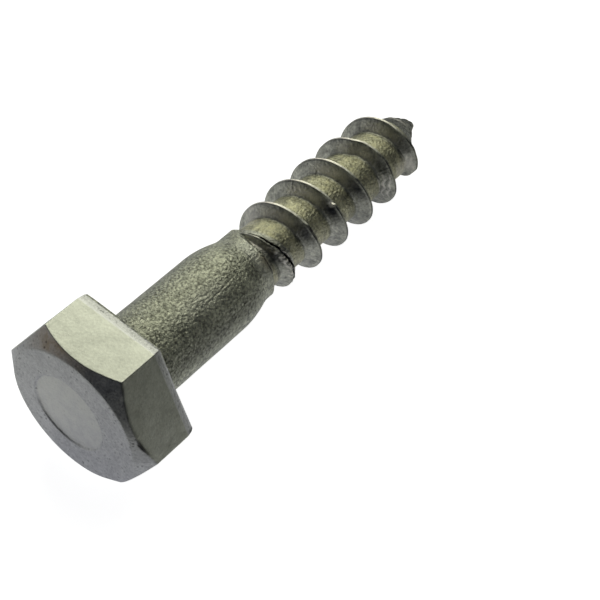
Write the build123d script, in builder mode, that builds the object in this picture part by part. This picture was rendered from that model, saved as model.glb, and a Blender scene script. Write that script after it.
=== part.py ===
from build123d import *
import os
from math import atan2, cos, radians, sin, tan

os.makedirs("parts", exist_ok=True)

# A hexagon-head lag screw of nominal size 10 x 50, forged and rolled from one piece of wire.
# Lengths are millimetres. Stations are measured along the screw from the bearing face under its
# head: the head lies at negative stations and the point at the largest. Bearings are angles round
# the screw, seen from the point: 0 is the +Y side and 90 is the top.

# Head
across_flats = 17.0
head_height = 6.85
end_face_diameter = 15.65
head_chamfer_angle = 38.0  # between the end face and the cone that trims its corners
bearing_edge_bevel = 0.32
under_head_bevel = 0.35
recess_diameter = 9.0
recess_depth = 0.18
recess_draft = 40.0  # of the recess's wall, from square to the end face
recess_eccentricity = 0.55  # the recess was struck this far off the axis
recess_bearing = -20.0

# Shank, and the neck down to the plain band from which the thread was rolled
screw_length = 49.6  # from the bearing face to the end of the point
shank_diameter = 9.57
neck_start = 15.4
neck_end = 18.1
neck_start_blend = 9.0
neck_end_blend = 2.0
band_diameter = 8.0

# Thread
thread_diameter = 9.85
core_diameter = 6.9
thread_pitch = 4.5
crest_width = 0.24
ridge_base_width = 1.8
flank_hollow = 0.045  # the rolled flanks are this much hollow at mid-height
first_crest_station = 19.28  # where the helix of the crest leaves bearing 0, inside the band
crest_rise_start = 19.3
crest_rise_end = 24.8
band_end_station = 20.7  # where the oblique end of the band crosses the axis
band_end_tilt = 19.3  # of the band's end, from square across the screw
band_end_bearing = 135.0  # the side where the band is shortest

# Point
point_half_angle = 36.5
nose_radius = 0.6

# The screw lies with the lower flat of its head and one crest of its thread on the ground,
# z = 0. The crest is the last full one to pass under the screw.
underside_bearing = 270.0
crest_turns_to_ground = 4 + underside_bearing / 360

# Sizes that follow from those above
crest_radius = thread_diameter / 2
core_radius = core_diameter / 2
shank_radius = shank_diameter / 2
band_radius = band_diameter / 2
head_corner_radius = across_flats / 2 / cos(radians(30))
ground_station = first_crest_station + thread_pitch * crest_turns_to_ground + crest_width / 2
rest_tilt = atan2(across_flats / 2 - crest_radius, ground_station + bearing_edge_bevel)
axis_height = across_flats / 2 * cos(rest_tilt) - bearing_edge_bevel * sin(rest_tilt)

# The origin is on the ground, below the middle of the screw's overall length.
nose_centre = screw_length - nose_radius
reach_behind = head_height * cos(rest_tilt) + end_face_diameter / 2 * sin(rest_tilt)
reach_ahead = nose_centre * cos(rest_tilt) + nose_radius
bearing_x = (reach_behind - reach_ahead) / 2

# The bearing face's plane looks along the screw to its point, with x to bearing 0 and y to
# bearing 90. Half-profiles have x along the screw and y as the radius.
screw_direction = Vector(cos(rest_tilt), 0, -sin(rest_tilt))
bearing_plane = Plane(origin=(bearing_x, 0, axis_height), x_dir=(0, 1, 0), z_dir=screw_direction)
profile_plane = Plane(origin=bearing_plane.origin, x_dir=screw_direction, z_dir=(0, -1, 0))
screw_axis = Axis(bearing_plane.origin, screw_direction)


def radial_direction(bearing):
    """Unit vector square to the screw, towards the given bearing in degrees."""
    across = bearing_plane.x_dir * cos(radians(bearing))
    return across + bearing_plane.y_dir * sin(radians(bearing))


# The head: a hexagonal bar whose corners a cone trims at the end face. The edges of its
# bearing side are bevelled, and a shallow round recess is struck into the end face.
chamfer_slope = tan(radians(head_chamfer_angle))
cone_rise = (head_corner_radius - end_face_diameter / 2) * chamfer_slope

with BuildPart() as head:
    with BuildSketch(bearing_plane):
        RegularPolygon(head_corner_radius, 6)
    extrude(amount=-head_height)
    with BuildSketch(profile_plane):
        with BuildLine():
            Polyline(
                (-head_height, 0),
                (-head_height, end_face_diameter / 2),
                (cone_rise - head_height, head_corner_radius),
                (0, head_corner_radius),
                (0, 0),
                close=True,
            )
        make_face()
    revolve(axis=screw_axis, mode=Mode.INTERSECT)
    bearing_face = head.faces().sort_by(screw_axis)[-1]
    chamfer(bearing_face.outer_wire().edges(), bearing_edge_bevel)
    with BuildSketch(bearing_plane.offset(-head_height)):
        with PolarLocations(recess_eccentricity, 1, start_angle=recess_bearing):
            Circle(recess_diameter / 2)
    extrude(amount=recess_depth, taper=recess_draft, mode=Mode.SUBTRACT)

# The thread: a core with one ridge swept round it, with a narrow crest and hollow flanks that
# run on down to a foot inside the core. Both pass their ends, the core by a turn more than the
# ridge, and an outline turned to the rise of the crests, the taper of the point and its round
# nose trims them.
ridge_foot = 0.4  # the swept section reaches this far into the core
trim_clearance = 0.6  # the trimming outline stands this far off the full crests
first_sweep_station = first_crest_station + thread_pitch * (1 / 4 - 1)
last_sweep_station = screw_length + thread_pitch / 2
ridge_plane = Plane(
    origin=bearing_plane.offset(first_sweep_station).origin,
    x_dir=screw_direction,
    z_dir=profile_plane.z_dir,
)
half_crest = crest_width / 2
half_base = ridge_base_width / 2
flank_lean = (half_base - half_crest) / (crest_radius - core_radius)
half_foot = half_base + ridge_foot * flank_lean
foot_radius = core_radius - ridge_foot

nose_edge_station = nose_centre + nose_radius * sin(radians(point_half_angle))
nose_edge_radius = nose_radius * cos(radians(point_half_angle))
rise_slope = (crest_radius - band_radius) / (crest_rise_end - crest_rise_start)
point_slope = tan(radians(point_half_angle))
trim_radius = crest_radius + trim_clearance
rise_start_radius = band_radius - (crest_rise_start - neck_end) * rise_slope
rise_trim_station = crest_rise_start + (trim_radius - band_radius) / rise_slope
point_trim_station = nose_edge_station - (trim_radius - nose_edge_radius) / point_slope

with BuildPart() as thread:
    with BuildSketch(bearing_plane.offset(first_sweep_station - thread_pitch)):
        Circle(core_radius)
    extrude(amount=last_sweep_station - first_sweep_station + 2 * thread_pitch)
    with BuildLine() as ridge_path:
        Helix(
            pitch=thread_pitch,
            height=last_sweep_station - first_sweep_station,
            radius=core_radius,
            center=ridge_plane.origin,
            direction=screw_direction,
        )
    with BuildSketch(ridge_plane):
        with BuildLine():
            Line((-half_crest, crest_radius), (half_crest, crest_radius))
            SagittaArc((half_crest, crest_radius), (half_foot, foot_radius), -flank_hollow)
            Line((half_foot, foot_radius), (-half_foot, foot_radius))
            SagittaArc((-half_foot, foot_radius), (-half_crest, crest_radius), -flank_hollow)
        make_face()
    sweep(path=ridge_path.wire(), is_frenet=True)
    with BuildSketch(profile_plane):
        with BuildLine():
            Polyline(
                (screw_length, 0),
                (neck_end, 0),
                (neck_end, rise_start_radius),
                (rise_trim_station, trim_radius),
                (point_trim_station, trim_radius),
                (nose_edge_station, nose_edge_radius),
            )
            RadiusArc((nose_edge_station, nose_edge_radius), (screw_length, 0), nose_radius)
        make_face()
    revolve(axis=screw_axis, mode=Mode.INTERSECT)

# The shank, its neck and the band are turned in one outline, and the band ends on the oblique
# plane. Head and thread are joined to it.
band_end_plane = Plane(
    origin=bearing_plane.offset(band_end_station).origin,
    z_dir=screw_direction + radial_direction(band_end_bearing) * tan(radians(band_end_tilt)),
)

with BuildPart() as lag_screw:
    with BuildSketch(profile_plane):
        with BuildLine():
            FilletPolyline(
                (-head_height / 2, 0),
                (-head_height / 2, shank_radius),
                (neck_start, shank_radius),
                (neck_end, band_radius),
                (crest_rise_end, band_radius),
                (crest_rise_end, 0),
                radius=(0, neck_start_blend, neck_end_blend, 0),
            )
            Line((crest_rise_end, 0), (-head_height / 2, 0))
        make_face()
    revolve(axis=screw_axis)
    split(bisect_by=band_end_plane, keep=Keep.BOTTOM)
    add(head.part)
    chamfer(lag_screw.edges(Select.NEW), under_head_bevel)
    add(thread.part)

lag_screw.part.label = "lag_screw"
export_step(lag_screw.part, "parts/lag_screw.step")
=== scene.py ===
"""A dull stainless hexagon-head lag screw, lying on a white table.

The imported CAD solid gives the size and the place. Three finer meshes stand for it: the forged
head, the turned shank with its neck and band, and the rolled thread with its point.
"""

import logging
from collections.abc import Callable, Sequence
from dataclasses import dataclass, field
from enum import Enum
from functools import partial
from math import atan2, ceil, cos, degrees, floor, hypot, pi, radians, sin, sqrt, tan

import bmesh
import bpy
from mathutils import Matrix, Vector, noise


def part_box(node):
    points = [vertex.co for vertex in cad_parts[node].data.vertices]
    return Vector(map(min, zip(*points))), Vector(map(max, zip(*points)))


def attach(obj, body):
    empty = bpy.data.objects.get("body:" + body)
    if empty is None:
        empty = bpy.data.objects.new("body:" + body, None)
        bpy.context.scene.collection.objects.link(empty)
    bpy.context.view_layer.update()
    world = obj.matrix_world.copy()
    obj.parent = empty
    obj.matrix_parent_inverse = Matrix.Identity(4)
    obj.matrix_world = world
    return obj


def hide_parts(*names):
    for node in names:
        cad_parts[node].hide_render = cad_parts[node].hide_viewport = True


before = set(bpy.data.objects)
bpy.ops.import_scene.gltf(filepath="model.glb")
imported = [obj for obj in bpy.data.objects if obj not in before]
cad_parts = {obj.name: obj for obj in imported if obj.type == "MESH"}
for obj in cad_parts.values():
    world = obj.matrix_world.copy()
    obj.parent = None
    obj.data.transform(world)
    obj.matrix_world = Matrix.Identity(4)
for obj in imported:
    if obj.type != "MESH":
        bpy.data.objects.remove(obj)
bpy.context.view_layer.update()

LOGGER = logging.getLogger("lag_screw")
MILLIMETRE = 0.001
CAD_NODE = "lag_screw"
SHARP_ANGLE = radians(32)
MERGE_DISTANCE = 0.0004  # millimetres
WHITE = (1.0, 1.0, 1.0, 1.0)

Socket = bpy.types.NodeSocket


# ---------------------------------------------------------------- small mathematics


def smooth_step(low: float, high: float, value: float) -> float:
    """Eases from 0 at ``low`` to 1 at ``high``."""
    share = min(max((value - low) / (high - low), 0.0), 1.0)
    return share * share * (3 - 2 * share)


def bump_at(centre: float, reach: float, value: float) -> float:
    """A smooth hump of height 1 at ``centre`` that ends ``reach`` to each side."""
    return 1 - smooth_step(0, reach, abs(value - centre))


def smooth_max(first: float, second: float, blend: float) -> float:
    """The larger of two values, rounded over where they lie within ``blend``."""
    overlap = max(blend - abs(first - second), 0.0) / blend
    return max(first, second) + overlap * overlap * blend / 4


def smooth_min(first: float, second: float, blend: float) -> float:
    """The smaller of two values, rounded over where they lie within ``blend``."""
    return -smooth_max(-first, -second, blend)


def ripple(point: Sequence[float], size: float, seed: float = 0.0) -> float:
    """Smooth noise between about -1 and 1 with features of one size.

    Args:
        point: A place in millimetres.
        size: The width of a feature in millimetres.
        seed: Moves the pattern, so that two uses of it differ.

    Returns:
        The noise there.
    """
    place = Vector(point) / size + Vector((seed, 2.7 * seed, -1.3 * seed))
    return noise.noise(place)


def interpolate(knots: Sequence[tuple[float, float]], value: float) -> float:
    """Eases through a short list of (position, height) pairs, level beyond its ends.

    Args:
        knots: The pairs, by rising position.
        value: Where to read.

    Returns:
        The height there.
    """
    if value <= knots[0][0]:
        return knots[0][1]
    for (left, low), (right, high) in zip(knots, knots[1:]):
        if value <= right:
            return low + (high - low) * smooth_step(left, right, value)
    return knots[-1][1]


def arc_corner(
    before: Vector, corner: Vector, after: Vector, radius: float, steps: int
) -> list[Vector]:
    """Rounds one corner of a profile.

    Args:
        before: The profile's point before the corner.
        corner: The sharp corner.
        after: The point after it.
        radius: The rounding's radius.
        steps: How many runs the rounding is divided into.

    Returns:
        ``steps + 1`` points from one tangent point to the other.
    """
    inward = (before - corner).normalized()
    outward = (after - corner).normalized()
    half = inward.angle(outward) / 2
    setback = radius / tan(half)
    centre = corner + (inward + outward).normalized() * (radius / sin(half))
    start = corner + inward * setback - centre
    end = corner + outward * setback - centre
    points = []
    for step in range(steps + 1):
        direction = start.lerp(end, step / steps)
        points.append(centre + direction.normalized() * radius)
    return points


def straight_run(start: Vector, end: Vector, steps: int) -> list[Vector]:
    """Points evenly spaced between two ends, with neither end among them."""
    return [start.lerp(end, step / steps) for step in range(1, steps)]


# ---------------------------------------------------------------- frame of the screw


@dataclass(frozen=True)
class ScrewFrame:
    """Where the screw lies.

    Stations run along the screw from its bearing face. Bearings turn round it: 0 is the
    frame's +Y side and 90 is the top.

    Attributes:
        across_flats: Of the head.
        head_height: From the bearing face to the end face.
        end_face_radius: Of the flat circle on the head's end.
        bearing_edge_bevel: Of the head's lower edge, on which it lies.
        ground_station: Of the crest that touches the ground.
        crest_radius: Of the thread's full turns.
    """

    across_flats: float = 17.0
    head_height: float = 6.85
    end_face_radius: float = 7.825
    bearing_edge_bevel: float = 0.32
    ground_station: float = 40.775
    crest_radius: float = 4.925

    @property
    def tilt(self) -> float:
        """How far the point dips below level, in radians."""
        drop = self.across_flats / 2 - self.crest_radius
        return atan2(drop, self.ground_station + self.bearing_edge_bevel)

    def matrix(self) -> Matrix:
        """Turns (station, bearing-0 side, bearing-90 side) in mm to the row frame in m."""
        low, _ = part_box(CAD_NODE)
        reach = self.head_height * cos(self.tilt) + self.end_face_radius * sin(self.tilt)
        height = self.across_flats / 2 * cos(self.tilt)
        height -= self.bearing_edge_bevel * sin(self.tilt)
        origin = Vector((low.x / MILLIMETRE + reach, 0, height))
        scale = Matrix.Scale(MILLIMETRE, 4)
        return scale @ Matrix.Translation(origin) @ Matrix.Rotation(self.tilt, 4, "Y")


def polar(station: float, radius: float, bearing: float) -> Vector:
    """A point from its station, radius and bearing, with the bearing in radians."""
    return Vector((station, radius * cos(bearing), radius * sin(bearing)))


# ---------------------------------------------------------------- meshes


@dataclass(frozen=True)
class Marks:
    """What the surface has at one point, each from 0 to 1.

    Attributes:
        stain: Brown heat tint or handling film.
        wear: Metal rubbed bright, and painted highlights and glints.
        shade: Painted shade in folds, laps and on sides turned from the light, and dark
            streaks.
        polish: How smooth the surface is, from blasted to trimmed.
    """

    stain: float = 0.0
    wear: float = 0.0
    shade: float = 0.0
    polish: float = 0.0


MARK_NAMES = ("stain", "wear", "shade", "polish")


def straight_wire(mesh: bmesh.types.BMesh, start: Vector, end: Vector, runs: int) -> None:
    """Adds a straight wire, divided into equal runs.

    Args:
        mesh: Takes the wire.
        start: Its first end.
        end: Its other end.
        runs: How many runs it has.
    """
    ends = [mesh.verts.new(start), mesh.verts.new(end)]
    edge = mesh.edges.new(ends)
    bmesh.ops.subdivide_edges(mesh, edges=[edge], cuts=runs - 1)


def turned_disc(rows: int, columns: int) -> bmesh.types.BMesh:
    """Spins a straight wire into a disc whose rings stand one unit apart.

    Args:
        rows: How many rings lie round the centre.
        columns: How many steps go round.

    Returns:
        The disc, square to the station axis.
    """
    mesh = bmesh.new()
    straight_wire(mesh, Vector((0, 0, 0)), Vector((0, rows, 0)), rows)
    bmesh.ops.spin(
        mesh,
        geom=mesh.verts[:] + mesh.edges[:],
        cent=(0, 0, 0),
        axis=(1, 0, 0),
        angle=2 * pi,
        steps=columns,
        use_merge=True,
    )
    return mesh


def shape_sheet(
    mesh: bmesh.types.BMesh, shape: Callable[[float, float], tuple[Vector, Marks]]
) -> None:
    """Moves each point of a spun sheet to its place and gives it its marks.

    Args:
        mesh: The sheet.
        shape: Gives the place and the marks for a point's distance along the sheet, which
            is a disc's ring or a tube's station, and its bearing in radians.
    """
    layers = [mesh.verts.layers.float.new(mark) for mark in MARK_NAMES]
    is_disc = max(abs(vertex.co.x) for vertex in mesh.verts) == 0
    for vertex in mesh.verts:
        bearing = atan2(vertex.co.z, vertex.co.y)
        along = round(hypot(vertex.co.y, vertex.co.z)) if is_disc else vertex.co.x
        vertex.co, found = shape(along, bearing)
        for layer, mark in zip(layers, MARK_NAMES):
            vertex[layer] = getattr(found, mark)


def close_mesh(mesh: bmesh.types.BMesh) -> None:
    """Merges what meets, drops what has collapsed, closes holes and turns faces outward.

    Args:
        mesh: The shape, in millimetres.
    """
    bmesh.ops.remove_doubles(mesh, verts=mesh.verts, dist=MERGE_DISTANCE)
    bmesh.ops.dissolve_degenerate(mesh, edges=mesh.edges, dist=MERGE_DISTANCE)
    loose = [vertex for vertex in mesh.verts if not vertex.link_faces]
    bmesh.ops.delete(mesh, geom=loose, context="VERTS")
    rim = [edge for edge in mesh.edges if edge.is_boundary]
    if rim:
        filled = bmesh.ops.holes_fill(mesh, edges=rim, sides=0)
        bmesh.ops.triangulate(mesh, faces=filled["faces"])
    bmesh.ops.recalc_face_normals(mesh, faces=mesh.faces)


def finish_piece(
    mesh: bmesh.types.BMesh,
    name: str,
    materials: Sequence[bpy.types.Material],
    material_index: Callable[[Vector], int],
    screw: ScrewFrame,
) -> bpy.types.Object:
    """Turns a finished mesh into a piece of the screw.

    Args:
        mesh: The shape in the screw's own millimetres. It is freed.
        name: The piece's name.
        materials: The piece's materials.
        material_index: Gives the number of the material for a face's middle.
        screw: Where the screw lies.

    Returns:
        The piece, riding on the CAD body.
    """
    for face in mesh.faces:
        face.smooth = True
        face.material_index = material_index(face.calc_center_median())
    for edge in mesh.edges:
        edge.smooth = edge.calc_face_angle(0.0) < SHARP_ANGLE
    bmesh.ops.transform(mesh, matrix=screw.matrix(), verts=mesh.verts)
    data = bpy.data.meshes.new(name)
    mesh.to_mesh(data)
    mesh.free()
    piece = bpy.data.objects.new(name, data)
    bpy.context.scene.collection.objects.link(piece)
    for material in materials:
        data.materials.append(material)
    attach(piece, "root")
    LOGGER.info("%s: %d faces", name, len(data.polygons))
    return piece


# ---------------------------------------------------------------- finishes


def linear_colour(code: str) -> tuple[float, float, float, float]:
    """Turns an sRGB hex value such as "#8a8b80" to a linear colour.

    Args:
        code: The hex value.

    Returns:
        Red, green, blue and an alpha of 1.
    """
    channels = [int(code[place : place + 2], 16) / 255 for place in (1, 3, 5)]
    linear = [c / 12.92 if c <= 0.04045 else ((c + 0.055) / 1.055) ** 2.4 for c in channels]
    return (*linear, 1.0)


def add_node(
    tree: bpy.types.NodeTree,
    kind: str,
    inputs: Sequence[object] | dict[str | int, object] = (),
    output: str | int = 0,
    **settings: object,
) -> Socket | None:
    """Adds one node to a material.

    Args:
        tree: The material's nodes.
        kind: The node's type, without its first word.
        inputs: Values, or other nodes' outputs to link, in the sockets' order or by socket.
        output: Which output is wanted.
        settings: Values for the node's own options.

    Returns:
        That output, or nothing for a node at the end of the material.
    """
    node = tree.nodes.new("ShaderNode" + kind)
    for option, value in settings.items():
        setattr(node, option, value)
    for socket, value in inputs.items() if isinstance(inputs, dict) else enumerate(inputs):
        if isinstance(value, Socket):
            tree.links.new(value, node.inputs[socket])
        else:
            node.inputs[socket].default_value = value
    return node.outputs[output] if node.outputs else None


def per_metre(size: float) -> float:
    """A pattern's scale, from the size of its features in millimetres."""
    return 1 / (size * MILLIMETRE)


@dataclass(frozen=True)
class SteelFinish:
    """Austenitic stainless steel as one way of working leaves it.

    Attributes:
        name: The material's name.
        clean: Colour of the clean metal.
        stained: Colour under the brown film.
        bright: Colour of rubbed metal and of painted highlights.
        dark: Colour of the pits' dirt and of painted shade.
        roughness: Of the clean surface.
        grain: Size of the finest texture, in millimetres.
        grain_height: Its depth, in millimetres.
        pit: Spacing of the pits, in millimetres.
        pit_depth: Their depth, in millimetres.
        mottle: Size of the soft patches, in millimetres.
        mottle_share: How much the patches change the colour.
        speckle: How much single grains change it.
        pit_grime: How dark the pits are.
    """

    name: str
    clean: str = "#adaea2"
    stained: str = "#7c7260"
    bright: str = "#d8d8cc"
    dark: str = "#2c2c2a"
    roughness: float = 0.42
    grain: float = 0.32
    grain_height: float = 0.19
    pit: float = 0.34
    pit_depth: float = 0.016
    mottle: float = 2.2
    mottle_share: float = 0.25
    speckle: float = 0.25
    pit_grime: float = 0.6

    def build(self, screw: ScrewFrame) -> bpy.types.Material:
        """Makes the material.

        Args:
            screw: Gives the direction that the grain follows.

        Returns:
            The material.
        """
        material = bpy.data.materials.new(self.name)
        material.use_nodes = True
        material.node_tree.nodes.clear()
        add = partial(add_node, material.node_tree)
        place = add("TexCoord", output="Object")
        along = add("Mapping", {"Vector": place, "Rotation": (0, -screw.tilt, 0)})
        stained, worn, shaded, polished = (
            add("Attribute", output="Fac", attribute_name=mark) for mark in MARK_NAMES
        )

        patches, grain, speckle = (
            add("TexNoise", {"Vector": along, "Scale": per_metre(size), "Detail": detail})
            for size, detail in ((self.mottle, 4.0), (self.grain, 3.0), (0.9 * self.grain, 2.0))
        )
        cells = add("TexVoronoi", {"Vector": along, "Scale": per_metre(self.pit)})
        pits = add("MapRange", (cells, 0.12, 0.34, 1.0, 0.0))
        pitted_patches = add("MapRange", (patches, 0.42, 0.62, 0.25, 1.0))
        pits = add("Math", (pits, pitted_patches), operation="MULTIPLY")
        unpolished = add("Math", (1.0, polished), operation="SUBTRACT")
        pits = add("Math", (pits, unpolished), operation="MULTIPLY")

        tone = add("MapRange", (patches, 0.3, 0.7, -self.mottle_share, self.mottle_share))
        fine = add("MapRange", (speckle, 0.35, 0.65, -self.speckle, self.speckle))
        fine = add("Math", (fine, unpolished), operation="MULTIPLY")
        tone = add("Math", (tone, fine), operation="ADD")
        lightness = add("Math", (1.0, tone), operation="ADD")
        clean = linear_colour(self.clean)[:3]
        colour = add("VectorMath", {0: clean, "Scale": lightness}, operation="SCALE")
        film_patches = add("MapRange", (patches, 0.35, 0.6, 0.55, 1.0))
        film = add("Math", (stained, film_patches), operation="MULTIPLY")
        grime = add("Math", (pits, self.pit_grime), operation="MULTIPLY")
        worn_patches = add("MapRange", (patches, 0.35, 0.6, 0.6, 1.0))
        wear = add("Math", (worn, worn_patches), operation="MULTIPLY")
        # Mixes in the brown film, the pits' dirt, the painted shade, and the rubbed metal with
        # its painted highlights.
        for share, code in (
            (film, self.stained), (grime, self.dark), (shaded, self.dark), (wear, self.bright)
        ):
            layers = {0: share, 6: colour, 7: linear_colour(code)}
            colour = add("Mix", layers, 2, data_type="RGBA")

        uneven = add("MapRange", (patches, 0.3, 0.7, -0.05, 0.07))
        roughness = add("Math", (self.roughness, uneven), operation="ADD")
        gloss = add("Math", (polished, -0.08), operation="MULTIPLY")
        roughness = add("Math", (roughness, gloss), operation="ADD")

        height = add("Math", (grain, self.grain_height), operation="MULTIPLY")
        relief_left = add("MapRange", (polished, 0.0, 1.0, 1.0, 0.3))
        height = add("Math", (height, relief_left), operation="MULTIPLY")
        sunk = add("Math", (pits, self.pit_depth), operation="MULTIPLY")
        height = add("Math", (height, sunk), operation="SUBTRACT")
        relief = add("Bump", {"Strength": 1.0, "Distance": MILLIMETRE, "Height": height})
        surface = {
            "Base Color": colour, "Metallic": 1.0, "Roughness": roughness, "Normal": relief
        }
        add("OutputMaterial", {"Surface": add("BsdfPrincipled", surface)})
        return material


class Worked(Enum):
    """The ways in which the screw's surfaces were worked."""

    # Forged, blasted and pickled: matt, with a fine pitted skin and a faint olive cast.
    BLASTED = SteelFinish(
        "blasted_stainless_steel", clean="#b3b4a1", stained="#b89c70", roughness=0.44,
        speckle=0.42,
    )
    # Trimmed in a die: the punch leaves the flats smoother, with faint soft patches.
    TRIMMED = SteelFinish(
        "trimmed_stainless_steel",
        clean="#c6c7ba",
        grain=0.3,
        grain_height=0.03,
        speckle=0.35,
        pit_depth=0.004,
        mottle=1.4,
        mottle_share=0.1,
        roughness=0.4,
    )
    # Struck by the heading die: matt and mottled.
    STRUCK = SteelFinish(
        "struck_stainless_steel",
        clean="#c2c2be",
        stained="#8f7850",
        grain=0.25,
        grain_height=0.04,
        pit=0.5,
        pit_depth=0.006,
        mottle=1.2,
        mottle_share=0.16,
        speckle=0.12,
    )
    # Rolled between dies: drawn smooth along the thread, with brown films on the flanks.
    ROLLED = SteelFinish(
        "rolled_stainless_steel",
        clean="#bcbcae",
        stained="#dbd5a2",
        bright="#efeade",
        dark="#25282c",
        pit_grime=0.3,
        grain=0.28,
        grain_height=0.19,
        pit=0.45,
        pit_depth=0.014,
        mottle=0.7,
        mottle_share=0.4,
        speckle=0.45,
        roughness=0.47,
    )


# ---------------------------------------------------------------- head


@dataclass
class Head:
    """The forged hexagon with its chamfered end, struck recess and bevelled lower edge.

    Attributes:
        screw: Where the screw lies, with the head's main sizes.
        chamfer_angle: Between the end face and the cone that trims its corners.
        recess_radius: Of the shallow round recess in the end face.
        recess_depth: At its rim.
        recess_offset: How far from the axis it was struck.
        recess_bearing: In which direction.
        corner_rounding: Of the six long edges.
        arris_rounding: Where the chamfer meets the flats.
        land_rounding: Where the end face runs into the chamfer.
        roll_length: Of the rolled-over strip at the flats' lower edge.
        roll_drop: How far that strip leans inward.
        roll_rounding: Where the flats run into that strip.
        roll_end_rounding: Where the strip runs into the bevel.
        bevel_rounding: Where the bevel runs into the bearing face.
        wall_reach: Half the width of the closely divided ring at the recess's wall.
        recess_crown: How far the recess's bottom rises in its middle.
        lean_height: How far the bearing face's upper edge leans towards the point.
        notch_depth: Of the ragged notch along one arris.
        inner_radius: Where the bearing face ends inside the shank.
        columns: Steps round the head.
        crowding: How closely the columns gather at the hexagon's corners, from 0 to 1.
        profiles: The outlines already worked out, by bearing.
    """

    screw: ScrewFrame
    chamfer_angle: float = 38.0
    recess_radius: float = 4.5
    recess_depth: float = 0.18
    recess_offset: float = 0.55
    recess_bearing: float = -20.0
    corner_rounding: float = 0.13
    arris_rounding: float = 0.12
    land_rounding: float = 0.5
    roll_length: float = 0.62
    roll_drop: float = 0.14
    roll_rounding: float = 0.6
    roll_end_rounding: float = 0.2
    bevel_rounding: float = 0.1
    wall_reach: float = 0.35
    recess_crown: float = 0.05
    lean_height: float = 0.28
    notch_depth: float = 0.07
    inner_radius: float = 3.5
    columns: int = 300
    crowding: float = 0.86
    profiles: dict[float, list[Vector]] = field(default_factory=dict)

    def hexagon_radius(self, bearing: float) -> float:
        """The hexagon's reach at a bearing in radians, with its corners rounded.

        Args:
            bearing: In radians.

        Returns:
            The reach in millimetres.
        """
        apothem = self.screw.across_flats / 2
        sector = pi / 3
        off_corner = abs((bearing + sector / 2) % sector - sector / 2)
        centre = (apothem - self.corner_rounding) / cos(pi / 6)
        rounding = self.corner_rounding
        tangent = atan2(rounding * sin(pi / 6), centre + rounding * cos(pi / 6))
        if off_corner < tangent:
            across = centre * sin(off_corner)
            return centre * cos(off_corner) + sqrt(rounding**2 - across**2)
        return apothem / cos(pi / 6 - off_corner)

    def crowd(self, bearing: float) -> float:
        """Draws the evenly spaced columns together towards the hexagon's corners.

        Args:
            bearing: Of a column, in radians.

        Returns:
            The bearing to which it moves.
        """
        sector = pi / 3
        turn = bearing / sector
        whole = floor(turn)
        share = turn - whole
        return (whole + share - self.crowding * sin(2 * pi * share) / (2 * pi)) * sector

    def profile(self, bearing: float) -> list[Vector]:
        """The head's outline at one bearing, as (radius, station) pairs.

        Args:
            bearing: In radians.

        Returns:
            Points from the middle of the end face to the inside of the bearing face, the
            same number at every bearing.
        """
        reach = self.hexagon_radius(bearing)
        height = self.screw.head_height
        land = self.screw.end_face_radius
        rise = (reach - land) * tan(radians(self.chamfer_angle))
        bevel = self.screw.bearing_edge_bevel
        middle = Vector((0, -height))
        land_edge = Vector((land, -height))
        arris = Vector((reach, rise - height))
        roll_top = Vector((reach, -bevel - self.roll_length))
        bevel_top = Vector((reach - self.roll_drop, -bevel))
        bevel_end = Vector((reach - bevel, 0))
        inside = Vector((self.inner_radius, 0))
        land_arc = arc_corner(middle, land_edge, arris, self.land_rounding, 6)
        arris_arc = arc_corner(land_edge, arris, roll_top, self.arris_rounding, 6)
        roll_arc = arc_corner(arris, roll_top, bevel_top, self.roll_rounding, 4)
        top_arc = arc_corner(roll_top, bevel_top, bevel_end, self.roll_end_rounding, 4)
        end_arc = arc_corner(bevel_top, bevel_end, inside, self.bevel_rounding, 4)
        wall = self.recess_radius
        inner_wall = Vector((wall - self.wall_reach, -height))
        outer_wall = Vector((wall + self.wall_reach, -height))
        points = [middle]
        # How many steps the straight run before each edge is divided into.
        for steps, edge in (
            (20, [inner_wall]), (12, [outer_wall]), (14, land_arc), (9, arris_arc),
            (26, roll_arc), (5, top_arc), (2, end_arc), (14, [inside]),
        ):
            points += straight_run(points[-1], edge[0], steps) + edge
        return points

    def recess_shift(self, radius: float) -> Vector:
        """How far the rings of the end face move to stay centred on the recess.

        Args:
            radius: Of the ring, in millimetres.

        Returns:
            The move in millimetres.
        """
        share = 1 - smooth_step(self.recess_radius + 0.6, 7.2, radius)
        turn = radians(self.recess_bearing)
        return Vector((0, cos(turn), sin(turn))) * (self.recess_offset * share)

    def shape(self, ring: float, bearing: float) -> tuple[Vector, Marks]:
        """Where a point of the turned disc belongs on the head.

        Args:
            ring: The number of its ring.
            bearing: Its bearing in radians.

        Returns:
            The place in the screw's millimetres, and the marks there.
        """
        crowded = self.crowd(bearing)
        key = round(crowded, 6)
        if key not in self.profiles:
            self.profiles[key] = self.profile(crowded)
        outline = self.profiles[key]
        if ring >= len(outline):
            return Vector((0, 0, 0)), Marks()
        radius, station = outline[round(ring)]
        point = polar(station, radius, crowded)
        on_end = station < -self.screw.head_height + 0.001
        if on_end or radius < self.screw.end_face_radius:
            if station < -self.screw.head_height / 2:
                point += self.recess_shift(radius)
                point.x += self.end_relief(point, radius)
        point.x += self.lean(point, degrees(crowded) % 360)
        return self.weather(point), self.marks(point, radius)

    def lean(self, point: Vector, bearing: float) -> float:
        """How far the bearing face's edge leans towards the point, on the head's upper side.

        Args:
            point: On the head.
            bearing: In degrees.

        Returns:
            The lean in millimetres.
        """
        share = smooth_step(-1.1, -0.3, point.x)
        share *= smooth_step(5.6, 7.0, hypot(point.y, point.z))
        return self.lean_height * share * bump_at(80, 75, bearing)

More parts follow.
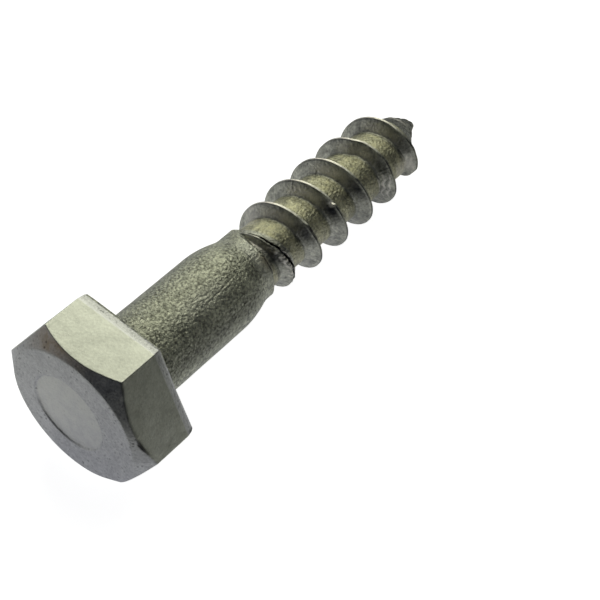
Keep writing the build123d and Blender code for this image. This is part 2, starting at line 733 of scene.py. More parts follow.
    def end_relief(self, point: Vector, radius: float) -> float:
        """How far the end face lies below its plane, with the recess struck into it.

        Args:
            point: A point of the end face.
            radius: Of its ring, before the recess's shift.

        Returns:
            The depth in millimetres, towards the bearing face.
        """
        wavering = 0.05 * ripple(point, 1.6, 3.0)
        foot, top = self.recess_radius - 0.16, self.recess_radius + 0.16
        wall = smooth_step(top, foot, radius + wavering)
        crown = self.recess_crown * max(1 - (radius / self.recess_radius) ** 2, 0.0)
        waves = 0.012 * ripple(point, 1.1, 5.0) + 0.02 * ripple(point, 2.7, 9.0)
        return wall * (self.recess_depth - crown) + waves + 0.02

    def weather(self, point: Vector) -> Vector:
        """Small unevenness of a forged and trimmed surface.

        Args:
            point: On the head.

        Returns:
            The point, moved by that unevenness.
        """
        axis_point = Vector((point.x, 0, 0))
        outward = (point - axis_point).normalized()
        depth = 0.018 * ripple(point, 2.3, 1.0) + 0.008 * ripple(point, 0.7, 2.0) - 0.018
        return point + outward * (depth - self.notch_depth * self.notch(point))

    def marks(self, point: Vector, ring_radius: float) -> Marks:
        """The head's marks.

        Args:
            point: On the head.
            ring_radius: Of its ring, before the recess's shift.

        Returns:
            Smooth flats, a lighter recess, a brown film on one side of the chamfer, painted
            shade on one side of the recess's wall, on the chamfer's lower sides and in the
            arris notch, a dark burr at the rear corner, and a painted glint on a nick.
        """
        bearing = degrees(atan2(point.z, point.y))
        inside = self.screw.across_flats / 2 - self.apothem_at(point)
        on_flat = smooth_step(0.06, 0.0, inside)
        on_end = smooth_step(-6.2, -6.6, point.x)
        rim = self.recess_radius
        in_recess = on_end * smooth_step(rim, rim - 0.3, ring_radius)
        # Painted shade on one side of the recess's wall.
        wall = on_end * bump_at(rim, 0.2, ring_radius) * bump_at(150, 60, bearing)
        on_chamfer = (1 - on_flat) * smooth_step(7.7, 8.1, hypot(point.y, point.z))
        on_chamfer *= smooth_step(-4.0, -4.6, point.x)
        film = on_chamfer * bump_at(76, 44, bearing)
        # Painted shade on the chamfer's lower sides, turned from the lamps.
        grime = max(0.38 * bump_at(135, 40, bearing), 0.2 * bump_at(190, 45, bearing))
        burr = bump_at(180, 3, abs(bearing)) * smooth_step(-0.9, -0.5, point.x)
        burr *= smooth_step(9.0, 9.3, hypot(point.y, point.z))
        # Painted shade on one side of the recess's wall, on the chamfer's lower sides and in
        # the arris notch, and a dark burr at the rear corner.
        shade = 0.5 * wall + on_chamfer * grime + 0.9 * self.notch(point) + 0.85 * burr
        # A painted glint on a small nick by the arris.
        dent = bump_at(128, 2.2, bearing) * bump_at(-5.8, 0.35, point.x)
        return Marks(
            stain=0.8 * film,
            wear=max(0.55 * in_recess, dent),
            shade=min(shade, 1.0) * (1 - dent),
            polish=max(0.85 * on_flat, 0.4 * in_recess),
        )

    def notch(self, point: Vector) -> float:
        """How deep in the ragged notch along one arris a point lies, from 0 to 1.

        Args:
            point: On the head.

        Returns:
            0 outside the notch and 1 at its deepest.
        """
        bearing = degrees(atan2(point.z, point.y))
        if not 120 < bearing < 181:
            return 0.0
        reach = self.hexagon_radius(radians(bearing))
        rise = (reach - self.screw.end_face_radius) * tan(radians(self.chamfer_angle))
        off_arris = point.x + self.screw.head_height - rise
        ragged = 0.06 * noise.noise(Vector((bearing / 2.5, 1.5, 4.5)))
        width = 0.04 + 0.14 * bump_at(165, 9, bearing) + ragged
        outer = smooth_step(reach - 0.45, reach - 0.2, hypot(point.y, point.z))
        strength = 0.35 + 0.65 * bump_at(165, 12, bearing)
        return outer * strength * smooth_step(width + 0.08, width - 0.04, abs(off_arris))

    def apothem_at(self, point: Vector) -> float:
        """How far out a point lies, measured square to the nearest flat.

        Args:
            point: On the head.

        Returns:
            The distance from the axis in millimetres.
        """
        bearing = atan2(point.z, point.y)
        off_flat = bearing % (pi / 3) - pi / 6
        return hypot(point.y, point.z) * cos(off_flat)

    def material_index(self, point: Vector) -> int:
        """Which finish a face has: 0 struck, 1 trimmed, 2 blasted.

        Args:
            point: The middle of the face.

        Returns:
            The number of the material.
        """
        if point.x > -0.05:
            return 2
        rolled = -self.screw.bearing_edge_bevel - self.roll_length
        if self.screw.across_flats / 2 - self.apothem_at(point) < 0.09 and point.x < rolled:
            return 1
        return 0

    def build(self, materials: Sequence[bpy.types.Material]) -> bpy.types.Object:
        """Makes the head's piece.

        Args:
            materials: Struck, trimmed and blasted steel.

        Returns:
            The piece.
        """
        rows = len(self.profile(0.0))
        mesh = turned_disc(rows, self.columns)
        shape_sheet(mesh, self.shape)
        close_mesh(mesh)
        return finish_piece(mesh, "screw_head", materials, self.material_index, self.screw)


# ---------------------------------------------------------------- shank


@dataclass
class Shank:
    """The plain shank with its neck and band, up to the ragged end of the band.

    Attributes:
        screw: Where the screw lies.
        radius: Of the shank.
        neck_start: Station where the neck's slope leaves the shank.
        neck_end: Station where it reaches the band.
        band_radius: Of the plain band.
        band_middle: Station of the band's end on the axis.
        band_slant: How far the band's end leans from that station.
        band_short_bearing: The side where the band is shortest.
        band_least: Station that its shortest side keeps to.
        seam_bearing: Where the die seam crosses the shank's middle.
        seam_depth: How deep the seam is.
        flare_height: Of the fillet under the head.
        flare_length: Of that fillet, along the screw.
        neck_blend: Rounds the neck's slope off the shank.
        band_blend: Rounds it into the band.
        lip_height: How far the torn end of the band is lifted.
        end_drop: How far the band's end falls towards the core.
        body_rows: Rows from the bearing face to near the band's end.
        end_rows: Rows over the band's end.
        columns: Steps round the shank.
    """

    screw: ScrewFrame
    radius: float = 4.785
    neck_start: float = 15.4
    neck_end: float = 18.1
    band_radius: float = 4.0
    band_middle: float = 20.7
    band_slant: float = 1.9
    band_short_bearing: float = 135.0
    band_least: float = 19.35
    seam_bearing: float = 118.0
    seam_depth: float = 0.05
    flare_height: float = 0.36
    flare_length: float = 0.42
    neck_blend: float = 0.5
    band_blend: float = 0.16
    lip_height: float = 0.09
    end_drop: float = 0.62
    body_rows: int = 150
    end_rows: int = 18
    columns: int = 320

    def band_end(self, bearing: float) -> float:
        """Station at which the band ends, at a bearing in radians.

        Args:
            bearing: In radians.

        Returns:
            The station in millimetres.
        """
        lean = self.band_slant * cos(bearing - radians(self.band_short_bearing))
        ragged = 0.05 * ripple((3 * cos(bearing), 3 * sin(bearing), 0), 0.5, 4.0)
        return smooth_max(self.band_middle - lean, self.band_least, 0.3) + ragged

    def torn(self, bearing: float) -> float:
        """How sharp and lifted the band's end is, from 0 to 1."""
        return bump_at(128.0, 62.0, degrees(bearing))

    def outline(self, station: float) -> float:
        """Radius of the turned outline at a station.

        Args:
            station: From the bearing face.

        Returns:
            The radius in millimetres.
        """
        flare = self.flare_height * (1 - smooth_step(0.0, self.flare_length, station))
        slope = (self.band_radius - self.radius) / (self.neck_end - self.neck_start)
        falling = self.radius + slope * (station - self.neck_start)
        neck = smooth_min(self.radius, falling, self.neck_blend)
        return smooth_max(neck, self.band_radius, self.band_blend) + flare

    def stations(self, bearing: float) -> list[tuple[float, float]]:
        """Rows of (station, radius) pairs from inside the head to inside the thread.

        Args:
            bearing: In radians.

        Returns:
            The pairs, the same number at every bearing.
        """
        end = self.band_end(bearing)
        torn = self.torn(bearing)
        rows = [(-3.0, 0.0), (-3.0, 4.6), (-1.0, 5.1), (-0.1, 5.14)]
        last = end - 0.5
        for step in range(self.body_rows + 1):
            station = last * step / self.body_rows
            rows.append((station, self.outline(station)))
        shoulder = 1.15 * (1 - torn) + 0.07
        drop_start = end - shoulder * 0.5
        drop_end = end + shoulder * 0.5
        for step in range(1, self.end_rows + 1):
            station = last + (drop_end - last) * (step / self.end_rows)
            fall = self.end_drop * smooth_step(drop_start, drop_end, station)
            lift = self.lip_height * torn * bump_at(end - 0.06, 0.12, station)
            rows.append((station, self.outline(station) + lift - fall))
        station = rows[-1][0]
        rows += [(station - 0.15, 3.2), (station - 0.3, 2.6), (station - 0.5, 0.0)]
        return rows

    def build(self, materials: Sequence[bpy.types.Material]) -> bpy.types.Object:
        """Makes the shank's piece.

        Args:
            materials: Blasted steel.

        Returns:
            The piece.
        """
        rows = len(self.stations(0.0)) - 1
        mesh = turned_disc(rows, self.columns)
        cache: dict[float, list[tuple[float, float]]] = {}

        def shape(ring: float, bearing: float) -> tuple[Vector, Marks]:
            """Where a point of the disc belongs on the shank, and its marks.

            Args:
                ring: The number of its ring.
                bearing: In radians.

            Returns:
                The place in the screw's millimetres, and the marks there.
            """
            key = round(bearing, 6)
            if key not in cache:
                cache[key] = self.stations(bearing)
            station, radius = cache[key][round(ring)]
            point = polar(station, radius, bearing)
            if radius > 3.5:
                uneven = 0.014 * ripple(point, 3.1, 1.0) + 0.005 * ripple(point, 0.9, 6.0)
                point += polar(0, uneven - self.seam(station, bearing), bearing)
            return point, self.marks(station, bearing)

        shape_sheet(mesh, shape)
        close_mesh(mesh)
        return finish_piece(mesh, "screw_shank", materials, lambda point: 0, self.screw)

    def seam(self, station: float, bearing: float) -> float:
        """Depth of the die seam that runs along the shank, in millimetres.

        Args:
            station: From the bearing face.
            bearing: In radians.

        Returns:
            The depth, which is 0 beside the seam.
        """
        line = self.seam_bearing - 1.0 * (station - 11.5)
        across = (degrees(bearing) - line) * self.radius * pi / 180
        run = smooth_step(9.0, 9.8, station) * smooth_step(14.4, 13.8, station)
        return self.seam_depth * run * bump_at(0.0, 0.1, across)

    def marks(self, station: float, bearing: float) -> Marks:
        """The shank's marks at a station and a bearing in radians.

        Args:
            station: From the bearing face.
            bearing: In radians.

        Returns:
            Brown film at the torn end with a painted highlight along its lifted lip, painted
            shade in the fold beside the lip and a painted shadow in the slit beyond it; the
            rubbed band;
            painted shade in the seam, on the low side, along an upper edge and on the neck; and
            a painted highlight along the lit top.
        """
        turn = degrees(bearing)
        end = self.band_end(bearing)
        film = smooth_step(end - 1.5, end - 0.3, station) * bump_at(128, 26, turn)
        rubbed = smooth_step(17.0, 18.4, station) * bump_at(115, 70, turn)
        # Painted shade: on the low side near the head, along an upper edge and over the neck's
        # highlight.
        low = bump_at(160, 26, turn) * smooth_step(17.5, 15.0, station)
        neck = bump_at(16.9, 1.7, station) * bump_at(95, 60, turn)
        low = max(0.42 * low, 0.16 * bump_at(38, 28, turn), 0.14 * neck)
        # At the torn end: a painted highlight along the lifted lip, painted shade in the fold
        # beside it, and a painted shadow in the slit beyond it.
        worn = self.torn(bearing) * bump_at(end - 0.06, 0.09, station)
        leaf = self.torn(bearing) * bump_at(end - 0.24, 0.12, station)
        gap = self.torn(bearing) * smooth_step(end, end + 0.06, station)
        # Painted shade in the seam's groove.
        seam = self.seam(station, bearing) / self.seam_depth * 0.6
        shade = min(0.95 * gap + 0.85 * leaf + 0.6 * seam + low, 1.0)
        # A painted highlight along the lit top of the shank.
        handled = 0.42 * bump_at(114, 26, turn) * bump_at(9.8, 6.0, station)
        wear = max(worn, 0.9 * rubbed * (1 - 0.6 * film), handled) * (1 - leaf)
        return Marks(stain=0.5 * film, wear=wear, shade=shade)


# ---------------------------------------------------------------- thread


@dataclass
class Thread:
    """The rolled thread: a core with one ridge wound round it, down to the point.

    Attributes:
        screw: Where the screw lies.
        pitch: From one crest to the next.
        first_station: Where the helix of the crest leaves bearing 0, inside the band.
        core_radius: Between the ridges.
        half_crest: Half the crest's width.
        flank_fall: How steeply the flanks fall from the crest.
        root_blend: Softens the foot of the flanks.
        point_half_angle: Of the point.
        nose_radius: Of its rounded end.
        length: From the bearing face to the nose.
        tip_bend: How far the point is bent to one side at its end.
        tip_bearing: Towards which bearing.
        bend_start: Station where that bend begins.
        cap_height: How far the ridge may stand above the point's cone.
        tip_roughness: Of the point's broken surface.
        lap_depth: Of the black lap that splits the first crest.
        chip_height: Of the chipped grain beside the lap.
        scuff_height: Of the scuffed ripples on the low side.
        scuff_spacing: From one ripple to the next.
        nick_turned: How far the helix has turned at the nick in a crest, in degrees.
        nick_depth: How deep that nick is.
        begin: Where the mesh starts, inside the band.
        face_inner: Inner radius of the flat face that closes the start.
        face_outer: Its outer radius.
        columns: Steps in each turn.
    """

    # Height of the crest, against the degrees that the helix has turned.
    CREST_HEIGHTS = (
        (40, 3.3), (66, 3.9), (100, 4.12), (140, 4.34), (176, 4.42), (215, 4.42), (300, 4.6),
        (450, 4.83), (810, 4.9), (1200, 4.9), (1530, 4.85), (1880, 4.85), (1910, 4.68),
        (1940, 4.68), (1955, 4.54), (1980, 4.48), (2004, 4.2), (2060, 3.5), (2120, 2.6),
        (2200, 1.4), (2260, 0.0),
    )
    # How far along the screw the worn crest lies from its helix, against the same.
    CREST_SHIFTS = (
        (90, -0.055), (106, 0.0), (122, 0.13), (141, 0.3), (160, 0.34), (176, 0.28),
        (204, 0.15), (270, 0.0), (1515, 0.0), (1535, 0.3), (1565, 0.3), (1600, 0.0),
        (1700, 0.0), (1870, 0.26), (1990, 0.26), (2060, 0.1), (2110, 0.0),
    )

    screw: ScrewFrame
    pitch: float = 4.5
    first_station: float = 19.28
    core_radius: float = 3.45
    half_crest: float = 0.12
    flank_fall: float = 1.89
    root_blend: float = 0.3
    point_half_angle: float = 33.0
    nose_radius: float = 0.66
    length: float = 49.57
    tip_bend: float = 0.47
    tip_bearing: float = 27.0
    bend_start: float = 44.8
    cap_height: float = 0.9
    tip_roughness: float = 0.12
    lap_depth: float = 0.32
    chip_height: float = 0.1
    scuff_height: float = 0.05
    scuff_spacing: float = 0.34
    nick_turned: float = 844.5
    nick_depth: float = 0.26
    begin: float = 13.5
    face_inner: float = 0.4
    face_outer: float = 2.5
    columns: int = 180

    def crest_distance(self, station: float, bearing: float) -> tuple[float, float]:
        """Finds the crest nearest to a point.

        Args:
            station: Of the point.
            bearing: Of the point, in radians.

        Returns:
            How far the point lies beyond the crest along the screw, and how far the
            helix has turned there, in degrees from bearing 0 on its first turn.
        """
        phase = (station - self.first_station) / self.pitch - bearing / (2 * pi)
        turn = round(phase)
        return (phase - turn) * self.pitch, 360 * turn + degrees(bearing)

    def crest_radius(self, turned: float) -> float:
        """Height of the crest once the helix has turned so many degrees.

        Args:
            turned: The degrees, from bearing 0 on the first turn.

        Returns:
            The radius of the crest in millimetres.
        """
        oval = 0.07 * cos(2 * radians(turned - 90))
        level = interpolate(self.CREST_HEIGHTS, turned)
        low_side = 0.09 * bump_at(185, 50, turned % 360) * smooth_step(420, 500, turned)
        low_side *= smooth_step(1850, 1750, turned)
        ragged = 0.012 * noise.noise(Vector((turned / 9, 0.5, 0.5)))
        ragged += 0.05 * noise.noise(Vector((turned / 5, 3.5, 0.5))) * bump_at(140, 75, turned)
        bulge = 0.14 * bump_at(487, 9, turned) + 0.07 * bump_at(1470, 80, turned)
        nick = 0.06 * bump_at(502, 6, turned)
        return level + oval * smooth_step(200, 420, turned) + low_side + ragged + bulge - nick

    def crest_shift(self, turned: float) -> float:
        """How far along the screw the crest lies from its helix."""
        return interpolate(self.CREST_SHIFTS, turned)

    def lap(self, distance: float, turned: float) -> float:
        """Depth of the black lap that splits the first crest, in millimetres.

        Args:
            distance: Beyond the nearest crest.
            turned: How far the helix has turned there, in degrees.

        Returns:
            The depth, which is 0 away from the lap.
        """
        share = smooth_step(70, 95, turned) * smooth_step(235, 190, turned)
        ragged = 0.8 + 0.7 * noise.noise(Vector((turned / 4, 7.5, 0.5)))
        wander = 0.05 + 0.07 * noise.noise(Vector((turned / 6, 4.5, 2.5)))
        return self.lap_depth * share * ragged * bump_at(wander, 0.09, distance)

    def chips(self, distance: float, turned: float) -> float:
        """Height of the chipped grain beside the lap, in millimetres.

        Args:
            distance: Beyond the nearest crest.
            turned: How far the helix has turned there, in degrees.

        Returns:
            The height, below 0 where grain is missing.
        """
        share = smooth_step(0.45, 0.3, abs(distance)) * bump_at(135, 75, turned)
        return self.chip_height * share * noise.noise(Vector((turned / 3, 9.5, distance * 7)))

    def cone(self, station: float) -> float:
        """Radius of the point's outline at a station.

        Args:
            station: From the bearing face.

        Returns:
            The radius in millimetres.
        """
        centre = self.length - self.nose_radius
        half = radians(self.point_half_angle)
        edge_station = centre + self.nose_radius * sin(half)
        edge_radius = self.nose_radius * cos(half)
        if station < edge_station:
            return edge_radius + (edge_station - station) * tan(half)
        into = min(max(station - centre, 0.0), self.nose_radius)
        return sqrt(max(self.nose_radius**2 - into**2, 0.0))

    def radius(self, station: float, distance: float, turned: float) -> float:
        """Radius of the threaded surface.

        Args:
            station: Of the point.
            distance: How far it lies beyond the nearest crest.
            turned: How far the helix has turned there, in degrees.

        Returns:
            The radius in millimetres.
        """
        crest = self.crest_radius(turned)
        beyond = max(abs(distance) - self.half_crest, 0.0)
        flank = crest - self.flank_fall * beyond
        flank += 0.08 * bump_at(158, 62, turned % 360) * smooth_step(0.84, 0.74, abs(distance))
        core = smooth_min(self.core_radius, self.cone(station), 0.3)
        ridge = smooth_min(flank, self.cone(station) + self.cap_height, 0.2)
        surface = smooth_max(ridge, core, self.root_blend) + self.gall(distance, turned)
        nick = bump_at(self.nick_turned, 4.5, turned) * smooth_step(0.4, 0.22, abs(distance))
        surface -= self.nick_depth * nick
        rough = smooth_step(46.0, 46.8, station) * smooth_step(49.5, 49.0, station)
        place = polar(station, surface, radians(turned))
        surface += self.tip_roughness * rough * ripple(place, 0.45, 8.0)
        return surface - self.lap(distance, turned) + self.chips(distance, turned)

    def gall(self, distance: float, turned: float) -> float:
        """Height of the scuffed ripples on the low side of the last turns.

        Args:
            distance: Beyond the nearest crest.
            turned: How far the helix has turned there, in degrees.

        Returns:
            The height in millimetres, below 0 between the ripples.
        """
        side = turned % 360
        share = 1.5 * bump_at(1612, 46, turned) + bump_at(1968, 40, turned)
        share += 0.6 * bump_at(168, 34, side) * bump_at(900, 620, turned)
        share *= smooth_step(0.22, 0.34, abs(distance)) * smooth_step(1.2, 1.0, abs(distance))
        wavy = 0.9 * noise.noise(Vector((turned / 14, distance * 1.5, 2.5)))
        phase = abs(distance) / self.scuff_spacing + wavy
        return self.scuff_height * share * sin(2 * pi * phase)

    def row_distances(self) -> list[float]:
        """Distances from a crest of the rows between it and the next crest."""
        edge = self.half_crest
        near = [0.0, 0.25 * edge, 0.5 * edge, 0.75 * edge, edge]
        near += [0.15, 0.19, 0.24, 0.3, 0.36, 0.42, 0.48, 0.54, 0.6, 0.66, 0.72, 0.78, 0.84]
        near += [0.9, 0.96, 1.02, 1.08, 1.14, 1.2, 1.3, 1.45, 1.65, 1.85, 2.05]
        far = [self.pitch - distance for distance in reversed(near)]
        return near + [self.pitch / 2] + far

    def build(self, materials: Sequence[bpy.types.Material]) -> bpy.types.Object:
        """Makes the thread's piece.

        Args:
            materials: Rolled steel.

        Returns:
            The piece.
        """
        rows = self.row_distances()
        mesh = bmesh.new()
        straight_wire(mesh, Vector((0, 1, 0)), Vector((len(rows) - 1, 1, 0)), len(rows) - 1)
        for vertex in mesh.verts:
            vertex.co.x = rows[round(vertex.co.x)]
        bmesh.ops.spin(
            mesh,
            geom=mesh.verts[:] + mesh.edges[:],
            cent=(0, 0, 0),
            axis=(1, 0, 0),
            dvec=(self.pitch / self.columns, 0, 0),
            angle=2 * pi,
            steps=self.columns,
        )
        one_turn = mesh.verts[:] + mesh.edges[:] + mesh.faces[:]
        turns = ceil((self.length - self.begin) / self.pitch)
        for turn in range(1, turns):
            copied = bmesh.ops.duplicate(mesh, geom=one_turn)["geom"]
            verts = [item for item in copied if isinstance(item, bmesh.types.BMVert)]
            bmesh.ops.translate(mesh, vec=(turn * self.pitch, 0, 0), verts=verts)
        bmesh.ops.remove_doubles(mesh, verts=mesh.verts, dist=0.002)
        whole_turns = round((self.begin - self.first_station) / self.pitch)
        begin = self.first_station + whole_turns * self.pitch
        shape_sheet(mesh, lambda along, bearing: self.shape(along + begin, bearing, begin))
        close_mesh(mesh)
        return finish_piece(mesh, "screw_thread", materials, lambda point: 0, self.screw)

    def shape(self, station: float, bearing: float, begin: float) -> tuple[Vector, Marks]:
        """Where a point of the wound sheet belongs on the thread.

        Args:
            station: Of the point on the sheet.
            bearing: Of the point, in radians.
            begin: The station where the sheet begins.

        Returns:
            The place in the screw's millimetres, and the marks there.
        """
        start_face = begin + self.pitch
        distance, turned = self.crest_distance(station, bearing)
        marks = self.marks(station, distance, turned)
        radius = self.radius(station, distance, turned)
        fade = smooth_step(2.0, 0.9, abs(distance))
        wider = 0.2 * bump_at(150, 80, turned) * min(abs(distance) / self.half_crest, 1.0)
        station += fade * (self.crest_shift(turned) + (wider if distance > 0 else -wider))
        if station < start_face:
            share = (station - begin) / self.pitch
            radius = self.face_inner + (self.face_outer - self.face_inner) * share
            station = start_face
        if station >= self.length:
            station = self.length
            radius = 0.0
        bend = self.tip_bend * smooth_step(self.bend_start, self.bend_start + 2.2, station)
        bend *= 1 - 0.5 * smooth_step(48.4, 49.4, station)
        side = polar(0, bend, radians(self.tip_bearing))
        return polar(station, radius, bearing) + side, marks

    def marks(self, station: float, distance: float, turned: float) -> Marks:
        """The thread's marks.

        Args:
            station: Of the point.
            distance: How far it lies beyond the nearest crest.
            turned: How far the helix has turned there, in degrees.

        Returns:
            Painted highlights on the crests' lit side and the upper flanks, painted glints on
            the first crest and a nick, scuff ridges rubbed bright and partly painted as
            highlight, brown films on the upper flanks and in the roots, dark streaks, painted
            shade in the laps, creases, slit and ripple grooves, under the crests and on the low
            flanks and lobes, and a darker point.
        """
        side = turned % 360
        off = abs(distance)
        tip = smooth_step(44.5, 45.1, station)
        first = smooth_step(240, 200, turned)
        flat = smooth_step(0.135, 0.12, off)
        facing_head = smooth_step(-0.1, -0.3, distance)
        root = smooth_step(0.95, 1.4, off)
        # Painted glints on the chipped first crest, with painted shade between them.
        flecks = smooth_step(0.0, 0.2, noise.noise(Vector((turned / 3, 9.5, distance * 7))))
        rim = first * smooth_step(0.42, 0.3, off) * bump_at(135, 75, turned)

        # A painted highlight on the crests' lit side.
        bright = flat * bump_at(68, 60, side) * (1 - first)
        # A painted glint on the nicked crest.
        struck = bump_at(846, 6, turned) * smooth_step(0.45, 0.3, off)
        rubbed = 0.45 * bump_at(398, 34, turned) * smooth_step(0.14, 0.2, off)
        # The scuff ripples' ridges are painted bright: partly rubbed metal, partly a painted
        # highlight.
        ridge = smooth_step(0.012, 0.04, self.gall(distance, turned))
        # The upper flanks carry a brown film and a painted highlight where they face up.
        upper_flank = facing_head * bump_at(-0.62, 0.5, distance) * bump_at(88, 48, side)
        scuffed = max(0.85 * upper_flank, 0.6 * bump_at(1975, 34, turned) * facing_head)
        wear = max(bright * (1 - tip), struck, 0.75 * ridge, rubbed, rim * flecks, scuffed)

        # Painted shade in the lap's crack and at the torn crest spots.
        lap = min(self.lap(distance, turned) / 0.12, 1.0)
        torn = max(bump_at(494, 12, turned), bump_at(1531, 6, turned))
        torn *= smooth_step(0.3, 0.1, off)
        # Painted shade on the lower side of the flanks that face the head.
        dark_flank = facing_head * smooth_step(1.25, 0.5, off) * bump_at(133, 40, side)
        fewer = 0.3 * smooth_step(1400, 1560, turned)
        dark_flank *= 0.86 - fewer + 0.14 * bump_at(850, 90, turned)
        # Painted shade in the crease at the flanks' foot, on the crests' far edge and just
        # under the crests.
        crease = bump_at(-0.9, 0.1, distance) * bump_at(140, 52, side) * (1 - tip)
        dark_edge = flat * (1 - first) * max(
            bump_at(140, 38, side) * smooth_step(0.02, -0.05, distance), bump_at(178, 40, side)
        )
        under = bump_at(-0.18, 0.07, distance) * bump_at(55, 50, side) * (1 - first)
        # A painted shadow in the slit by the band, and painted shade on the low lobes.
        wedge = smooth_step(-0.15, -0.35, distance) * bump_at(105, 52, turned)
        dull_lobe = 0.42 * bump_at(185, 45, side) * bump_at(1400, 580, turned) * facing_head
        streak = noise.noise(Vector((turned / 22, distance * 6, 1.5)))
        streak = smooth_step(0.05, 0.45, streak) * smooth_step(0.14, 0.2, off) * (1 - rubbed)
        # Painted shade in the grooves between the scuff ripples.
        groove = smooth_step(0.01, -0.04, self.gall(distance, turned))
        # The point is darkened, and more on its upper side as painted shade.
        shade = max(
            lap, 0.85 * torn, dark_flank, 0.42 * crease, 0.7 * dark_edge, dull_lobe,
            0.6 * under, 0.62 * wedge, 0.34 * streak * (1 - tip), 0.28 * groove,
            0.6 * rim * (1 - flecks),
            tip * (0.44 + 0.36 * bump_at(75, 50, side)),
        )
        film = 0.68 * upper_flank + (0.45 + 0.15 * bump_at(100, 42, side)) * root
        return Marks(
            stain=min(film, 1.0) * (1 - tip) * (1 - wedge),
            wear=wear * (1 - lap),
            shade=min(shade, 1.0) * (1 - max(struck, 0.6 * bright)),
            polish=max(0.6 - 0.35 * root, flat) * (1 - tip),
        )


# ---------------------------------------------------------------- studio


@dataclass(frozen=True)
class Lamp:
    """One square soft lamp that faces the screw.

    Attributes:
        name: The lamp's name.
        direction: From the screw to the lamp.
        power: In watts.
        distance: In metres.
        size: Of its side, in metres.
        colour: As sRGB hex.
    """

    name: str
    direction: tuple[float, float, float]
    power: float
    distance: float = 0.35
    size: float = 0.226
    colour: str = "#fdfff0"

    def build(self) -> None:
        """Makes the lamp."""
        data = bpy.data.lights.new(self.name, "AREA")
        data.shape = "SQUARE"
        data.size = self.size
        data.energy = self.power
        data.color = linear_colour(self.colour)[:3]
        lamp = bpy.data.objects.new(self.name, data)
        towards = Vector(self.direction).normalized()
        lamp.location = towards * self.distance
        lamp.rotation_euler = towards.to_track_quat("Z", "Y").to_euler()
        bpy.context.scene.collection.objects.link(lamp)


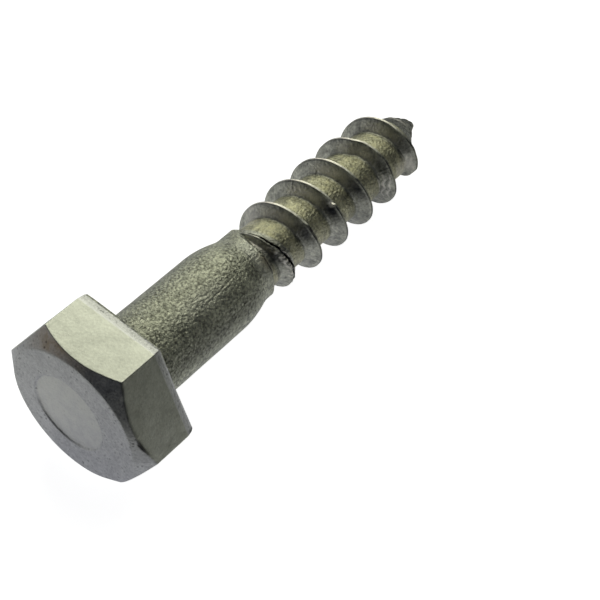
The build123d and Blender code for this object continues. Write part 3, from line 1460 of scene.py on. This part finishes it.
@dataclass
class Studio:
    """The white table, the lamps and the camera.

    The steel mirrors the table as a painted reflection: a pale glow, seen only in reflections,
    that grows towards the lamps, with a painted pool of light under the screw and a weaker
    field on the far side. The table itself is seen as white.

    Attributes:
        camera_place: In millimetres.
        camera_target: A point on the camera's line of sight, in millimetres.
        camera_roll: In radians, clockwise.
        focal_length: For a sensor 36 mm wide.
        lamps: The lamps.
        room: Colour of the even light from all round.
        table: Colour of the table top.
        table_reach: From its middle to its edge, in metres.
        seen_glow: Brings the table to white where it is looked at directly.
        glow_colour: Colour of the table as the steel mirrors it.
        lit_side: Towards which it grows brighter.
        glow_span: Over which distance that way, in metres.
        pool_centre: Middle of the pool of light, in metres.
        pool_glow: Its strength.
        pool_span: The distances at which it begins to fade and ends.
        far_side: Towards which a second, weaker field grows brighter.
        far_glow: Its strength.
        far_span: Over which distance that way.
    """

    camera_place: tuple[float, float, float] = (-74.64, -57.59, 131.88)
    camera_target: tuple[float, float, float] = (0.306, -5.867, 3.972)
    camera_roll: float = -0.09732
    focal_length: float = 88.191
    lamps: tuple[Lamp, ...] = (
        Lamp("key_lamp", (0.58, 0.58, 0.574), 0.30),
        Lamp("top_lamp", (0.469, 0.0, 0.883), 0.196),
        Lamp("side_lamp", (-0.69, 0.69, 0.25), 0.055, 0.4, 0.22, "#f4f6ff"),
    )
    room: str = "#2e3036"
    table: str = "#eeeeee"
    table_reach: float = 3.0
    seen_glow: float = 0.94
    glow_colour: str = "#f0f2ff"
    lit_side: tuple[float, float, float] = (0.5, 0.87, 0.0)
    glow_span: tuple[float, float] = (0.008, 0.2)
    pool_centre: tuple[float, float, float] = (-0.014, 0.0, 0.0)
    pool_glow: float = 0.42
    pool_span: tuple[float, float] = (0.015, 0.06)
    far_side: tuple[float, float, float] = (-0.94, 0.34, 0.0)
    far_glow: float = 0.16
    far_span: tuple[float, float] = (0.06, 0.2)

    def add_camera(self) -> None:
        """Makes the camera and hands it to the scene."""
        data = bpy.data.cameras.new("camera")
        data.lens = self.focal_length
        data.sensor_width = 36.0
        data.clip_start = 0.005
        camera = bpy.data.objects.new("camera", data)
        place = Vector(self.camera_place) * MILLIMETRE
        sight = Vector(self.camera_target) * MILLIMETRE - place
        right = sight.cross(Vector((0, 0, 1))).normalized()
        down = sight.cross(right).normalized()
        turn_cos, turn_sin = cos(self.camera_roll), sin(self.camera_roll)
        across = right * turn_cos + down * turn_sin
        below = down * turn_cos - right * turn_sin
        axes = Matrix((across, -below, -sight.normalized())).transposed()
        camera.matrix_world = Matrix.Translation(place) @ axes.to_4x4()
        bpy.context.scene.collection.objects.link(camera)
        bpy.context.scene.camera = camera

    def table_material(self) -> bpy.types.Material:
        """Matt white paper that looks white to the camera and is mirrored by the steel."""
        material = bpy.data.materials.new("white_table")
        material.use_nodes = True
        material.node_tree.nodes.clear()
        add = partial(add_node, material.node_tree)
        place = add("TexCoord", output="Object")
        path = add("LightPath").node.outputs
        # Painted reflection: emission seen only by glossy and transmission rays, brighter
        # towards the lit side, with a pool round the screw and a far field.
        towards = add("VectorMath", (place, self.lit_side), "Value", operation="DOT_PRODUCT")
        reflected = add("MapRange", (towards, *self.glow_span, 0.0, 1.0))
        away = add("VectorMath", (place, self.pool_centre), "Value", operation="DISTANCE")
        pool = (away, *self.pool_span, self.pool_glow, 0.0)
        pool = add("MapRange", pool, interpolation_type="SMOOTHSTEP")
        reflected = add("Math", (reflected, pool), operation="ADD")
        towards = add("VectorMath", (place, self.far_side), "Value", operation="DOT_PRODUCT")
        far = add("MapRange", (towards, *self.far_span, 0.0, self.far_glow))
        reflected = add("Math", (reflected, far), operation="ADD")
        mirrored = (path["Is Glossy Ray"], path["Is Transmission Ray"])
        mirrored = add("Math", mirrored, operation="ADD")
        shown_glow = add("Math", (mirrored, reflected), operation="MULTIPLY")
        seen_glow = add("Math", (path["Is Camera Ray"], self.seen_glow), operation="MULTIPLY")
        seen = add("Emission", {"Color": WHITE, "Strength": seen_glow})
        shown = {"Color": linear_colour(self.glow_colour), "Strength": shown_glow}
        glow = add("AddShader", (seen, add("Emission", shown)))
        matt = add("BsdfDiffuse", {"Color": linear_colour(self.table)})
        add("OutputMaterial", {"Surface": add("AddShader", (glow, matt))})
        return material

    def add_table(self) -> None:
        """Makes the white table top."""
        mesh = bmesh.new()
        bmesh.ops.create_grid(mesh, x_segments=1, y_segments=1, size=self.table_reach)
        data = bpy.data.meshes.new("table_top")
        mesh.to_mesh(data)
        mesh.free()
        data.materials.append(self.table_material())
        table = bpy.data.objects.new("table_top", data)
        bpy.context.scene.collection.objects.link(table)

    def add_room(self) -> None:
        """Makes the even light from all round, behind which the camera sees white."""
        world = bpy.data.worlds.new("room")
        world.use_nodes = True
        world.node_tree.nodes.clear()
        add = partial(add_node, world.node_tree)
        camera_ray = add("LightPath", output="Is Camera Ray")
        room = add("Background", {"Color": linear_colour(self.room), "Strength": 1.0})
        white = add("Background", {"Color": WHITE, "Strength": 1.0})
        add("OutputWorld", {"Surface": add("MixShader", (camera_ray, room, white))})
        bpy.context.scene.world = world

    def build(self) -> None:
        """Makes the whole studio."""
        self.add_camera()
        self.add_table()
        for lamp in self.lamps:
            lamp.build()
        self.add_room()


def main() -> None:
    """Builds the screw's pieces and the studio round them."""
    logging.basicConfig(level=logging.INFO, format="%(name)s: %(message)s")
    screw = ScrewFrame()
    scene = bpy.context.scene
    scene.view_settings.view_transform = "Standard"
    blasted, trimmed, struck, rolled = (
        way.value.build(screw)
        for way in (Worked.BLASTED, Worked.TRIMMED, Worked.STRUCK, Worked.ROLLED)
    )
    head = Head(screw).build((struck, trimmed, blasted))
    Shank(screw).build((blasted,))
    Thread(screw).build((rolled,))
    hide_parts(CAD_NODE)
    Studio().build()


if __name__ == "__main__":
    main()
